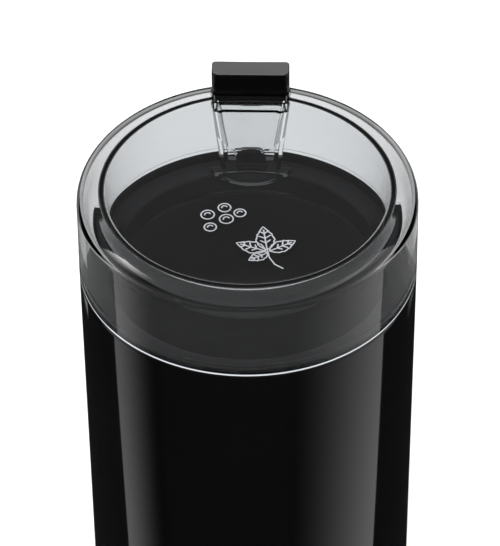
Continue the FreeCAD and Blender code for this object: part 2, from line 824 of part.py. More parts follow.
def make_commutator():
    body = new_body("commutator")
    spin(body, [
        ("shaft_radius", "commutator_bottom"),
        ("commutator_radius", "commutator_bottom"),
        ("commutator_radius", "commutator_bottom + commutator_length"),
        ("shaft_radius", "commutator_bottom + commutator_length"),
    ])
    slot = rectangle(body, "XY_Plane",
                     "commutator_radius - commutator_slot * 2", "commutator_radius + commutator_slot",
                     "-commutator_slot / 2", "commutator_slot / 2",
                     at="commutator_bottom + commutator_length")
    cut = pocket(body, slot, "commutator_length")
    around(body, cut, "slot_count * 2")
    return body


def make_core():
    body = new_body("armature_core")
    disc = circles(body, "XY_Plane", centre, "core_radius", "shaft_radius", at="core_bottom")
    pad(body, disc, "core_length")
    slot = rectangle(body, "XY_Plane", "core_radius - core_slot * 2", "core_radius + core_slot",
                     "-core_slot / 2", "core_slot / 2", at="core_top")
    cut = pocket(body, slot, "core_length")
    around(body, cut, "slot_count")
    return body


def make_windings():
    """Wire heads above and below the core, as two lacquered rings."""
    body = new_body("armature_windings")
    for low, high in (("core_bottom - winding_end", "core_bottom"), ("core_top", "core_top + winding_end")):
        ring = circles(body, "XY_Plane", centre, "winding_radius", "shaft_radius", at=low)
        pad(body, ring, f"({high}) - ({low})")
    return body


def make_field():
    body = new_body("field_core")
    disc = circles(body, "XY_Plane", centre, "field_radius", "core_radius + air_gap", at="core_bottom")
    pad(body, disc, "core_length")
    for side in ("-1", "1"):
        for end in ("-1", "1"):
            near = f"{side} * (coil_near - coil_gap)"
            far = f"{side} * (coil_far + coil_gap)"
            low = f"{end} * (coil_half - coil_side - coil_gap)"
            high = f"{end} * (coil_half + coil_gap)"
            slot = rectangle(body, "XY_Plane", near, far, low, high, at="core_top")
            pocket(body, slot, "core_length")
    screws = circles(body, "XY_Plane", motor_screw_spots, "motor_screw_radius + fit_gap", at="core_top")
    pocket(body, screws, "core_length")
    return body


def make_coils():
    body = new_body("field_coils")
    for side in ("-1", "1"):
        near = f"{side} * coil_near" if side == "1" else "-coil_far"
        loop = rectangle(body, "YZ_Plane", "-coil_half", "coil_half",
                         "core_bottom - coil_end", "core_top + coil_end", at=near)
        pad(body, loop, "coil_far - coil_near")
        window = rectangle(body, "YZ_Plane", "-coil_half + coil_side", "coil_half - coil_side",
                           "core_bottom - coil_gap", "core_top + coil_gap",
                           at=f"{near} + coil_far - coil_near")
        pocket(body, window, "coil_far - coil_near")
    return body


def make_fan():
    body = new_body("cooling_fan")
    plate = circles(body, "XY_Plane", centre, "fan_radius", "shaft_radius", at="fan_bottom")
    pad(body, plate, "fan_blade")
    hub = circles(body, "XY_Plane", centre, "fan_hub", "shaft_radius", at="fan_bottom")
    pad(body, hub, "fan_height")
    vane = rectangle(body, "XY_Plane", "fan_hub + fan_blade", "fan_radius", "-fan_blade / 2", "fan_blade / 2",
                     at="fan_bottom")
    blade = pad(body, vane, "fan_height")
    around(body, blade, "fan_count")
    return body


def make_brush_gear():
    """Brushes against the commutator, their springs behind, and a holder tube around each."""
    middle = "(commutator_bottom + commutator_length / 2)"
    face = "(commutator_radius + brush_gap)"
    brushes = new_body("carbon_brushes")
    springs = new_body("brush_springs")
    holders = new_body("brush_holders")
    for side in ("-1", "1"):
        start = f"{face}" if side == "1" else f"-{face} - brush_length"
        tip = rectangle(brushes, "YZ_Plane", "-brush_width / 2", "brush_width / 2",
                        f"{middle} - brush_height / 2", f"{middle} + brush_height / 2", at=start)
        pad(brushes, tip, "brush_length")
        back = f"{face} + brush_length" if side == "1" else "-holder_end + holder_wall"
        coil = circles(springs, "YZ_Plane", [("0", middle)], "brush_height / 2 - spring_gap",
                       "brush_height / 2 - spring_gap - spring_wire", at=back)
        pad(springs, coil, f"holder_end - holder_wall - {face} - brush_length")
        near = "commutator_radius + holder_gap" if side == "1" else "-holder_end"
        tube = rectangle(holders, "YZ_Plane",
                         "-brush_width / 2 - holder_wall", "brush_width / 2 + holder_wall",
                         f"{middle} - brush_height / 2 - holder_wall",
                         f"{middle} + brush_height / 2 + holder_wall",
                         at=near)
        pad(holders, tube, "holder_end - commutator_radius - holder_gap")
        inside = rectangle(holders, "YZ_Plane",
                           "-brush_width / 2 - brush_gap", "brush_width / 2 + brush_gap",
                           f"{middle} - brush_height / 2 - brush_gap",
                           f"{middle} + brush_height / 2 + brush_gap",
                           at="commutator_radius + holder_gap" if side == "1"
                           else "-commutator_radius - holder_gap")
        pocket(holders, inside, "holder_end - holder_wall - commutator_radius - holder_gap",
               reverse=side == "1")
        leg = rectangle(holders, "XY_Plane",
                        "holder_end - holder_wall * 3" if side == "1" else "-holder_end",
                        "holder_end" if side == "1" else "-holder_end + holder_wall * 3",
                        "-brush_width / 2", "brush_width / 2", at="lower_bracket_z + bracket_thick")
        pad(holders, leg, f"{middle} - brush_height / 2 - holder_wall - lower_bracket_z - bracket_thick")
    return [brushes, springs, holders]


def make_screws(label, places, low, high, head_low, shank="screw_hole"):
    """Pan-head screws, all alike: shank from LOW to HIGH, head on the side of HEAD_LOW."""
    body = new_body(label)
    pad(body, circles(body, "XY_Plane", places, f"{shank} - bearing_gap", at=low), f"({high}) - ({low})")
    pad(body, circles(body, "XY_Plane", places, "screw_head_radius", at=head_low), "screw_head_height")
    return body


def make_mounts():
    body = new_body("rubber_mounts")
    ring = circles(body, "XY_Plane", mount_spots, "mount_radius", "screw_hole + fit_gap", at="upper_seat")
    pad(body, ring, "mount_length")
    return body


def make_blade():
    """Steel strip: one wing bent up, the other nearly flat, tips tapered in plan, leading edges ground."""
    body = new_body("blade")
    shape = polygon(body, "XZ_Plane", [
        ("-blade_reach", "blade_z + wing_low"),
        ("-blade_flat", "blade_z"),
        ("blade_flat", "blade_z"),
        ("blade_reach", "blade_z + wing_rise"),
        ("blade_reach", "blade_z + wing_rise + blade_thick"),
        ("blade_flat - blade_thick / 4", "blade_z + blade_thick"),
        ("-blade_flat", "blade_z + blade_thick"),
        ("-blade_reach", "blade_z + wing_low + blade_thick"),
    ], at="blade_width / 2")
    pad(body, shape, "blade_width")
    top = "blade_z + wing_rise + blade_thick"
    for side in ("1", "-1"):
        # Trailing side of each wing runs in towards the tip.
        beyond = f"{side} * (blade_reach + blade_thick)"
        taper = polygon(body, "XY_Plane", [
            (f"{side} * blade_flat", f"{side} * blade_width / 2"),
            (beyond, f"{side} * (blade_tip_width - blade_width / 2)"),
            (beyond, f"{side} * (blade_width / 2 + blade_thick)"),
            (f"{side} * blade_flat", f"{side} * (blade_width / 2 + blade_thick)"),
        ], at=top)
        pocket(body, taper, "wing_rise + blade_thick * 2")
    bore = circles(body, "XY_Plane", centre, "thread_radius + fit_gap / 2", at="blade_z + blade_thick")
    pocket(body, bore, "blade_thick")
    dress(body, "Chamfer", "bevel_width", leading_edge)
    return body


def leading_edge(edge):
    """Test for the upper long edge of a wing, on the side that meets the spices first."""
    box = edge.BoundBox
    side = 1 if box.Center.x > 0 else -1
    rise = "wing_rise" if side > 0 else "wing_low"
    along = box.YLength < 0.01 and box.XLength > size("blade_reach - blade_flat") / 2
    front = abs(box.Center.y + side * size("blade_width / 2")) < 0.01
    return along and front and abs(box.ZMax - size(f"blade_z + {rise} + blade_thick")) < 0.01


def make_nut():
    body = new_body("blade_nut")
    low = "blade_z + blade_thick"
    spin(body, [
        ("thread_radius + fit_gap / 2", low),
        ("nut_radius", low),
        ("nut_radius", f"{low} + nut_height / 2"),
        ("nut_radius / 2", "nut_top"),
        ("0", "nut_top"),
        ("0", "nut_top - nut_end + fit_gap"),
        ("thread_radius + fit_gap / 2", "nut_top - nut_end + fit_gap"),
    ])
    dress(body, "Fillet", "nut_round", ring_edge("nut_radius", f"{low} + nut_height / 2"))
    return body


def make_seal():
    body = new_body("shaft_seal")
    inner = "shaft_radius + 2 * bearing_gap"
    spin(body, [
        (inner, "bowl_under - seal_lip"),
        ("shaft_radius + seal_wall + seal_lip", "bowl_under - seal_lip"),
        ("shaft_radius + seal_wall + seal_lip", "bowl_under"),
        ("shaft_radius + seal_wall - fit_gap / 2", "bowl_under"),
        ("shaft_radius + seal_wall - fit_gap / 2", "tower_top"),
        ("tower_radius - seal_wall", "tower_top"),
        ("shaft_radius + seal_wall", "tower_top + seal_height - fit_gap"),
        (inner, "tower_top + seal_height - fit_gap"),
    ])
    return body


def make_cover():
    """Base cover: vented disc with a stiffening ring, cord posts, screw holes and foot pockets."""
    body = new_body("base_cover")
    outer = "inner_bottom - cover_gap"
    spin(body, [
        ("0", "foot_height"),
        (outer, "foot_height"),
        (outer, "cover_top"),
        ("rib_radius + rib_wall", "cover_top"),
        ("rib_radius + rib_wall", "cover_top + rib_height"),
        ("rib_radius", "cover_top + rib_height"),
        ("rib_radius", "cover_top"),
        ("0", "cover_top"),
    ])
    vent = rectangle(body, "XY_Plane", "vent_inner", "vent_outer", "-vent_width / 2", "vent_width / 2",
                     at="cover_top")
    cut = pocket(body, vent, "cover_thick")
    around(body, cut, "vent_count")
    pocket(body, circles(body, "XY_Plane", boss_spots, "screw_hole + fit_gap * 2", at="cover_top"),
           "cover_thick")
    pocket(body, circles(body, "XY_Plane", boss_spots, "screw_head_radius + running_gap", at="foot_height"),
           "head_sink", reverse=True)
    pocket(body, circles(body, "XY_Plane", foot_spots, "foot_radius + fit_gap", at="foot_height"),
           "foot_sink", reverse=True)
    pocket(body, circles(body, "XY_Plane", foot_spots, "stem_radius + fit_gap / 2", at="cover_top"),
           "cover_thick")
    pad(body, circles(body, "XY_Plane", clamp_spots, "post_radius", at="cover_top"),
        "inlet_height - (cover_top) - fit_gap")
    pocket(body, circles(body, "XY_Plane", clamp_spots, "screw_hole", at="inlet_height - fit_gap"),
           "post_bore")
    return body


def make_feet():
    body = new_body("feet")
    pad(body, circles(body, "XY_Plane", foot_spots, "foot_radius", at="0"), "foot_height + foot_sink")
    pad(body, circles(body, "XY_Plane", foot_spots, "stem_radius", at="foot_height + foot_sink"),
        "stem_height")
    return body


def make_grommet():
    """Sleeve in the back wall with a flange on either side of it."""
    body = new_body("cord_grommet")
    neck = "inlet_neck - fit_gap"
    inner = "inlet_outside - housing_wall - inlet_lip * 2"
    sleeve = circles(body, "XZ_Plane", [("0", "inlet_height")], neck, at="grommet_face")
    pad(body, sleeve, f"grommet_face - ({inner})")
    flange = circles(body, "XZ_Plane", [("0", "inlet_height")], "inlet_flange", at=f"{inner} + inlet_lip")
    pad(body, flange, "inlet_lip")
    collar = circles(body, "XZ_Plane", [("0", "inlet_height")], "inlet_neck + collar_proud",
                     at="grommet_face")
    pad(body, collar, "collar_proud - fit_gap")
    bore = circles(body, "XZ_Plane", [("0", "inlet_height")], "inlet_bore", at="grommet_face")
    pocket(body, bore, f"grommet_face - ({inner})", reverse=True)
    return body


def make_clamp():
    body = new_body("cord_clamp")
    block = rectangle(body, "XZ_Plane", "-clamp_width / 2", "clamp_width / 2",
                      "inlet_height", "inlet_height + clamp_height", at="clamp_y + clamp_depth / 2")
    pad(body, block, "clamp_depth")
    arch = circles(body, "XZ_Plane", [("0", "inlet_height")], "inlet_bore", at="clamp_y - clamp_depth / 2")
    pocket(body, arch, "clamp_depth")
    drill = circles(body, "XY_Plane", clamp_spots, "screw_hole + fit_gap", at="inlet_height + clamp_height")
    pocket(body, drill, "clamp_height")
    return body


def make_block(label, middle, height):
    body = new_body(label)
    base = rectangle(body, "XY_Plane", f"{middle} - block_width / 2", f"{middle} + block_width / 2",
                     "-block_length / 2", "block_length / 2", at="cover_top")
    pad(body, base, height)
    dress(body, "Fillet", "edge_round", upright_edge)
    return body


parts = [
    make_housing(),
    make_bowl(),
    make_gasket(),
    make_lid(),
    make_cap(),
    make_plunger(),
    make_bar(),
    make_lever(),
    make_lever_pin(),
    make_switch_case(),
    make_terminals(),
    make_switch_bracket(),
    make_shaft(),
    make_bearing("lower_bearing", "lower_bracket_z + bracket_thick / 2"),
    make_bearing("upper_bearing", "upper_bracket_z + bracket_thick / 2"),
    make_bracket("lower_bracket", "lower_bracket_z", motor_screw_spots),
    make_bracket("upper_bracket", "upper_bracket_z", motor_screw_spots + mount_spots),
    make_commutator(),
    make_core(),
    make_windings(),
    make_field(),
    make_coils(),
    make_fan(),
    *make_brush_gear(),
    make_mounts(),
    make_screws("motor_screws", motor_screw_spots, "lower_bracket_z", "upper_seat + bracket_wall",
                "lower_bracket_z - screw_head_height", shank="motor_screw_radius"),
    make_screws("mount_screws", mount_spots, "upper_bracket_z", "bowl_under + bowl_wall / 2",
                "upper_bracket_z - screw_head_height"),
    make_blade(),
    make_nut(),
    make_seal(),
    make_cover(),
    make_screws("base_screws", boss_spots, "foot_height + head_sink", "cover_top + screw_bite",
                "foot_height + head_sink - screw_head_height"),
    make_feet(),
    make_grommet(),
    make_clamp(),
    make_screws("clamp_screws", clamp_spots, "inlet_height - clamp_bite", "inlet_height + clamp_height",
                "inlet_height + clamp_height"),
    make_block("terminal_block", "-block_x - block_width / 2", "block_height"),
    make_block("suppressor", "block_x + block_width / 2", "suppressor_height"),
]
doc.recompute()

for item in doc.Objects:
    if "Invalid" in item.State or "Error" in item.State:
        raise RuntimeError(f"{item.Label} failed: {item.State}")
for item in parts:
    if item.Shape.isNull() or not item.Shape.isValid() or not item.Shape.Solids:
        raise RuntimeError(f"{item.Label} has no valid shape")

os.makedirs("parts", exist_ok=True)
for item in parts:
    item.Shape.exportStep(f"parts/{item.Label}.step")
    print(item.Label, "solids", len(item.Shape.Solids), "volume", round(item.Shape.Volume))
print("pieces", len(parts))
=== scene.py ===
import math

import bmesh
import bpy
from mathutils import Matrix, Vector


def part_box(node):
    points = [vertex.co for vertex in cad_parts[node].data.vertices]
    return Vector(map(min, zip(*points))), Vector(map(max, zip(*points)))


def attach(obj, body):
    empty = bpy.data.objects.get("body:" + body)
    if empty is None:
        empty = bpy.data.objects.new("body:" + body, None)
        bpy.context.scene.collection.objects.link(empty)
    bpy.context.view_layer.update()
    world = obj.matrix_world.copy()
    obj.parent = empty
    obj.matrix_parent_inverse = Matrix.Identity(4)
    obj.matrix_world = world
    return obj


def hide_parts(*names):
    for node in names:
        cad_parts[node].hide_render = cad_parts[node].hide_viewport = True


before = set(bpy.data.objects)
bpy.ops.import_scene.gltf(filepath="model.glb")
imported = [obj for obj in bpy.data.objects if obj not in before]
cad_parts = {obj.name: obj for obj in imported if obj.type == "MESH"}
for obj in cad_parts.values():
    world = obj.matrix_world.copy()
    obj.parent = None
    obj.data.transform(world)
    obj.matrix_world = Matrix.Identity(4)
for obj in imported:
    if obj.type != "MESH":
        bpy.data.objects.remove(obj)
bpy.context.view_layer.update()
mm = 0.001


def linked(name, data):                          # new object in the scene
    thing = bpy.data.objects.new(name, data)
    bpy.context.collection.objects.link(thing)
    return thing


# Camera and view
camera = {
    "distance": 1.111,          # from the target, in metres
    "elevation": 41.47,         # degrees above the horizon
    "azimuth": 1.7,             # degrees to the right of the front
    "lens": 281.1,
    "sensor": 36,               # along the frame's long side
    "roll": -0.58,
    "target": (0.0, 0.0, 0.1381),
    "shift": (0.0035, -0.0208),
    "clipEnd": 50,
}


def makeCamera(spec):
    data = bpy.data.cameras.new("camera")
    data.lens = spec["lens"]
    data.sensor_fit = "VERTICAL"
    data.sensor_width = data.sensor_height = spec["sensor"]
    data.shift_x, data.shift_y = spec["shift"]
    data.clip_end = spec["clipEnd"]
    eye = linked("camera", data)
    tilt = math.radians(spec["elevation"])
    side = math.radians(spec["azimuth"])
    back = Vector((math.cos(tilt) * math.sin(side), -math.cos(tilt) * math.cos(side), math.sin(tilt)))
    roll = Matrix.Rotation(math.radians(spec["roll"]), 3, "Z").to_quaternion()
    eye.location = Vector(spec["target"]) + back * spec["distance"]
    eye.rotation_mode = "QUATERNION"
    eye.rotation_quaternion = back.to_track_quat("Z", "Y") @ roll
    bpy.context.scene.camera = eye


makeCamera(camera)
bpy.context.scene.view_settings.view_transform = "Standard"
print("camera set")


# Shader sockets that take Python's own operators
class Wire:
    def __init__(self, nodes, socket):
        self.nodes = nodes
        self.socket = socket

    def math(self, operation, *others):
        return self.nodes.node("ShaderNodeMath", {"operation": operation}, dict(enumerate((self, *others))))

    def __add__(self, other):
        return self.math("ADD", other)

    def __sub__(self, other):
        return self.math("SUBTRACT", other)

    def __rsub__(self, other):
        return self.nodes.node("ShaderNodeMath", {"operation": "SUBTRACT"}, {0: other, 1: self})

    def __mul__(self, other):
        return self.math("MULTIPLY", other)

    __radd__ = __add__
    __rmul__ = __mul__

    def between(self, low, high, start=0.0, end=1.0, kind="SMOOTHSTEP"):     # start below low, end above high
        return self.nodes.node("ShaderNodeMapRange", {"interpolation_type": kind},
                               {"Value": self, "From Min": low, "From Max": high, "To Min": start, "To Max": end})


class Nodes:                                     # a node tree, of a material or of the sky
    def __init__(self, tree):
        self.tree = tree

    def node(self, kind, settings=None, sockets=None, out=0):
        new = self.tree.nodes.new(kind)
        for key, value in (settings or {}).items():
            setattr(new, key, value)
        for key, value in (sockets or {}).items():
            self.plug(value, new.inputs[key])
        return Wire(self, new.outputs[out])

    def plug(self, value, socket):
        if isinstance(value, Wire):
            self.tree.links.new(value.socket, socket)
        else:
            socket.default_value = value

    def part(self, vector, index):               # one component of a vector
        return self.node("ShaderNodeSeparateXYZ", None, {"Vector": vector}, out=index)

    def bounces(self, kind):                     # how often the ray has turned in this way
        return self.node("ShaderNodeLightPath", out=kind + " Depth")


class Finish(Nodes):                             # one material and its nodes
    def __init__(self, name, **constants):
        self.material = bpy.data.materials.new(name)
        self.material.use_nodes = True
        super().__init__(self.material.node_tree)
        self.shader = self.tree.nodes["Principled BSDF"]
        self.set(**constants)

    def set(self, **inputs):
        for key, value in inputs.items():
            self.plug(value, self.shader.inputs[key.replace("_", " ")])

    def place(self):                             # the piece's own coordinates, in metres
        return self.node("ShaderNodeTexCoord", out="Object")

    def noise(self, scale, detail=3.0, stretch=(1, 1, 1)):
        spread = self.node("ShaderNodeMapping", None, {"Vector": self.place(), "Scale": stretch})
        return self.node("ShaderNodeTexNoise", None, {"Vector": spread, "Scale": scale, "Detail": detail})

    def blend(self, factor, first, second):
        return self.node("ShaderNodeMix", {"data_type": "RGBA"}, {0: factor, 6: first, 7: second}, out=2)

    def bump(self, height, strength, distance):
        self.set(Normal=self.node("ShaderNodeBump", None,
                                  {"Height": height, "Strength": strength, "Distance": distance}))

    def cover(self, factor, other):              # the shader where the factor is 1, the other where it is 0
        own = Wire(self, self.shader.outputs["BSDF"])
        mixed = self.node("ShaderNodeMixShader", None, {0: factor, 1: other, 2: own})
        self.plug(mixed, self.tree.nodes["Material Output"].inputs["Surface"])


plasticIor = 1.49
atLeastOne = 0.5                                 # threshold for a count of bounces


def grey(level, tint=0.0):
    return (level, level, level * (1 + tint), 1)


def moulded(name, dark, light, gloss, spread, grain=900.0, depth=0.00004, strength=0.15):
    finish = Finish(name, IOR=plasticIor)
    cloud = finish.noise(38.0, 4.0)
    fine = finish.noise(grain, 2.0)
    finish.set(Base_Color=finish.blend(cloud, dark, light), Roughness=gloss + spread * fine)
    finish.bump(fine, strength, depth)
    return finish.material


def metal(name, dark, light, gloss, spread, stretch=(1, 1, 1), grain=600.0, depth=0.00003, strength=0.2):
    finish = Finish(name, Metallic=1.0)
    streak = finish.noise(grain, 3.0, stretch)
    cloud = finish.noise(60.0)
    finish.set(Base_Color=finish.blend(cloud, dark, light), Roughness=gloss + spread * streak)
    finish.bump(streak, strength, depth)
    return finish.material


def clearPlastic(name, haze):
    finish = Finish(name, IOR=plasticIor, Transmission_Weight=1.0)
    smear = finish.noise(55.0)
    ripple = finish.noise(14.0, 1.0)
    tint = finish.blend(smear, (0.93, 0.945, 0.955, 1), (0.965, 0.972, 0.978, 1))
    finish.set(Base_Color=tint, Roughness=haze * smear.between(0.45, 0.8))
    finish.bump(ripple, 0.06, 0.0004)
    return finish.material


def neckedPlastic(name, haze, share):
    # clear plastic whose top share is dyed black
    finish = Finish(name, IOR=plasticIor, Transmission_Weight=1.0)
    height = finish.part(finish.node("ShaderNodeTexCoord", out="Generated"), 2)
    smear = finish.noise(55.0)
    clear = finish.blend(smear, (0.93, 0.94, 0.95, 1), (0.97, 0.975, 0.98, 1))
    dyed = height.between(1 - share, 1 - share + 0.01)
    finish.set(Base_Color=finish.blend(dyed, clear, grey(0.002)), Roughness=haze * smear)
    return finish.material


def edgePlastic(name, dark, light):
    # pale opaque plastic: on the lid's foot a painted highlight that stands in for the light the clear wall
    # carries down to it; on the ornament a frosted pale line
    finish = Finish(name, IOR=plasticIor)
    cloud = finish.noise(120.0)
    finish.set(Base_Color=finish.blend(cloud, dark, light), Roughness=0.3 + 0.2 * cloud)
    finish.bump(cloud, 0.1, 0.00005)
    return finish.material


blackGloss = moulded("black gloss", grey(0.0018, 0.05), grey(0.0034, 0.05), gloss=0.03, spread=0.035,
                     grain=700.0, depth=0.00001, strength=0.05)
blackSatin = moulded("black satin", grey(0.01, 0.1), grey(0.018, 0.1), gloss=0.3, spread=0.16, grain=1400.0)
# cap's top: a satin finish whose base colour is raised far above the black, a painted sheen in place of the sky's
# reflection
capSatinAndSheen = moulded("cap satin and painted sheen", grey(0.07), grey(0.095), gloss=0.34, spread=0.12,
                   grain=2200.0, depth=0.00002, strength=0.2)
clearLid = clearPlastic("clear plastic", haze=0.03)
plungerClear = neckedPlastic("plunger plastic", haze=0.05, share=0.1)
# the lid's foot: a pale colour painted on as the highlight of light carried down the clear wall
paintedRimHighlight = edgePlastic("painted rim highlight", (0.6, 0.63, 0.67, 1), (0.76, 0.79, 0.83, 1))
paleLine = edgePlastic("pale line", (0.3, 0.31, 0.33, 1), (0.46, 0.47, 0.5, 1))
groundSteel = metal("ground steel", grey(0.5, 0.02), grey(0.66, 0.02), gloss=0.16, spread=0.2, stretch=(1, 14, 1))
shaftSteel = metal("shaft steel", grey(0.5), grey(0.62), gloss=0.14, spread=0.1, stretch=(1, 1, 12))
zincSteel = metal("zinc steel", grey(0.42, 0.06), grey(0.6, 0.08), gloss=0.3, spread=0.2)
laminated = metal("stacked sheet", grey(0.12, 0.05), grey(0.22, 0.05), gloss=0.4, spread=0.2,
                  stretch=(0.1, 0.1, 30), grain=180.0, depth=0.0002, strength=0.7)
copperWire = metal("lacquered wire", (0.42, 0.13, 0.045, 1), (0.66, 0.24, 0.09, 1), gloss=0.2, spread=0.2,
                   stretch=(0.2, 0.2, 24), grain=160.0, depth=0.0003, strength=0.8)
brassPart = metal("brass", (0.55, 0.38, 0.15, 1), (0.7, 0.5, 0.22, 1), gloss=0.24, spread=0.2)
bronzeBush = metal("sintered bronze", (0.32, 0.2, 0.1, 1), (0.46, 0.3, 0.15, 1), gloss=0.45, spread=0.2,
                   grain=1600.0, strength=0.4)
springWire = metal("spring wire", grey(0.35), grey(0.5), gloss=0.22, spread=0.15,
                   stretch=(0.1, 0.1, 40), grain=120.0, depth=0.0003, strength=0.8)
rubber = moulded("rubber", grey(0.012), grey(0.022), gloss=0.62, spread=0.2,
                 grain=1500.0, depth=0.00006, strength=0.35)
carbon = moulded("carbon", grey(0.01), grey(0.02), gloss=0.5, spread=0.2)
greyPlastic = moulded("grey plastic", grey(0.03), grey(0.05), gloss=0.42, spread=0.15)
fanPlastic = moulded("fan plastic", (0.55, 0.54, 0.5, 1), (0.68, 0.67, 0.62, 1), gloss=0.4, spread=0.15)
yellowCase = moulded("yellow case", (0.62, 0.42, 0.05, 1), (0.72, 0.52, 0.09, 1), gloss=0.22, spread=0.1)
print("materials made")


# Mesh tools
def toMesh(name, build):
    mesh = bpy.data.meshes.new(name)
    build.to_mesh(mesh)
    build.free()
    return mesh


def addObject(name, mesh, material, body, smooth=40):
    piece = linked(name, mesh)
    mesh.materials.clear()
    mesh.materials.append(material)
    for face in mesh.polygons:
        face.use_smooth = True
    mesh.set_sharp_from_angle(angle=math.radians(smooth))
    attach(piece, body)
    return piece


def markFaces(piece, material, chosen):          # a second material on the chosen faces
    piece.data.materials.append(material)
    for face in piece.data.polygons:
        if chosen(face):
            face.material_index = 1


def rounded(corners, steps=6):
    # each corner is (across, up) or (across, up, radius); rounds are laid as arcs
    out = []
    count = len(corners)
    for i, corner in enumerate(corners):
        here = Vector(corner[:2])
        bend = corner[2] if len(corner) > 2 else 0
        if not bend:
            out.append(here)
            continue
        before = (Vector(corners[i - 1][:2]) - here).normalized()
        after = (Vector(corners[(i + 1) % count][:2]) - here).normalized()
        half = before.angle(after) / 2
        middle = here + (before + after).normalized() * (bend / math.sin(half))
        start = here + before * (bend / math.tan(half)) - middle
        end = here + after * (bend / math.tan(half)) - middle
        for k in range(steps + 1):
            out.append(middle + start.slerp(end, k / steps) * bend)
    return out


def arc(size, start, end, steps, centre=(0, 0)):
    turn = [math.radians(start + (end - start) * i / steps) for i in range(steps + 1)]
    return [(centre[0] + size * math.cos(a), centre[1] + size * math.sin(a)) for a in turn]


def lathe(profile, segments=192, axis="Z", centre=(0, 0, 0)):
    # closed profile of (radius, height), in metres; points on the axis become poles
    build = bmesh.new()
    rings = []
    for reach, height in profile:
        if reach < 1e-7:
            rings.append([build.verts.new((0, 0, height))])
            continue
        turn = [2 * math.pi * i / segments for i in range(segments)]
        rings.append([build.verts.new((reach * math.cos(a), reach * math.sin(a), height)) for a in turn])
    for lower, upper in zip(rings, rings[1:] + rings[:1]):
        if len(lower) == 1 and len(upper) == 1:
            continue
        for i in range(segments):
            j = (i + 1) % segments
            corner = [lower[i % len(lower)], lower[j % len(lower)], upper[j % len(upper)], upper[i % len(upper)]]
            build.faces.new(list(dict.fromkeys(corner)))
    bmesh.ops.recalc_face_normals(build, faces=build.faces)
    mesh = toMesh("lathe", build)
    if axis == "Y":
        mesh.transform(Matrix.Rotation(math.radians(-90), 4, "X"))
    mesh.transform(Matrix.Translation(Vector(centre)))
    return mesh


def prism(outline, low, high, plane="XY", bevel=0.0):
    # outline of (across, up) pushed from low to high along the plane's normal axis
    place = {"XY": lambda a, b, c: (a, b, c), "XZ": lambda a, b, c: (a, c, b)}[plane]
    build = bmesh.new()
    first = [build.verts.new(place(a, b, low)) for a, b in outline]
    second = [build.verts.new(place(a, b, high)) for a, b in outline]
    build.faces.new(first)
    build.faces.new(second[::-1])
    count = len(outline)
    for i in range(count):
        j = (i + 1) % count
        build.faces.new((first[i], second[i], second[j], first[j]))
    bmesh.ops.recalc_face_normals(build, faces=build.faces)
    if bevel:
        rims = [edge for edge in build.edges if edge.calc_face_angle(0) > math.radians(50)]
        bmesh.ops.bevel(build, geom=rims, offset=bevel, segments=3, profile=0.5, affect="EDGES")
    return toMesh("prism", build)


def bridge(build, lower, upper, closed):         # faces between two rows of points
    count = len(lower)
    for i in range(count if closed else count - 1):
        j = (i + 1) % count
        build.faces.new((lower[i], lower[j], upper[j], upper[i]))


def evaluated(thing):                            # its mesh with all modifiers, as a new one
    bpy.context.view_layer.update()
    return bpy.data.meshes.new_from_object(thing.evaluated_get(bpy.context.evaluated_depsgraph_get()))


def combine(mesh, operation, others):
    # exact boolean of one mesh with several, result as a new mesh
    base = linked("base", mesh)
    tools = [linked("tool", other) for other in others]
    for tool in tools:
        step = base.modifiers.new("step", "BOOLEAN")
        step.operation = operation
        step.solver = "EXACT"
        step.object = tool
    result = evaluated(base)
    for used in [base] + tools:
        bpy.data.objects.remove(used)
    return result


def joined(meshes):
    build = bmesh.new()
    for mesh in meshes:
        build.from_mesh(mesh)
    return toMesh("joined", build)


# Shared places, read from the frame
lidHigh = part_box("lid_shell")[1]
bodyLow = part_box("housing")[0]
capLow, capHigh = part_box("button_cap")
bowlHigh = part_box("grinding_bowl")[1]
radius = lidHigh[1]
lidTop = lidHigh[2]
deck = bowlHigh[2]

# Slot for the bar behind the bowl, cut into housing and bowl
slot = {
    "halfWidth": 4.4 * mm,
    "halfDepth": 1.7 * mm,
    "middle": 38.4 * mm,
    "round": 0.5 * mm,
}


def slotCutter(spec, low, high):
    wide, bend = spec["halfWidth"], spec["round"]
    front, back = spec["middle"] - spec["halfDepth"], spec["middle"] + spec["halfDepth"]
    outline = rounded([(-wide, front, bend), (wide, front, bend), (wide, back, bend), (-wide, back, bend)], 3)
    return prism(outline, low, high)


# Housing
housing = {
    "bottomRadius": 42.7 * mm,
    "bottomRound": 1.0 * mm,
    "wall": 2.8 * mm,
    "topRound": 0.8 * mm,
    "rimHeight": 2.2 * mm,
    "rimWall": 1.0 * mm,
    "rimRound": 0.3 * mm,
    "rimFootRound": 0.15 * mm,
    "ledge": 1.6 * mm,
    "ledgeTop": deck - 3.0 * mm,
    "ledgeThick": 2.4 * mm,
    "inletHeight": 15 * mm,
    "inletRadius": 5.2 * mm,
    "inletSpan": (36 * mm, 46 * mm),
    "slotSpan": (-4 * mm, 0.1 * mm),         # from the ledge's top
}


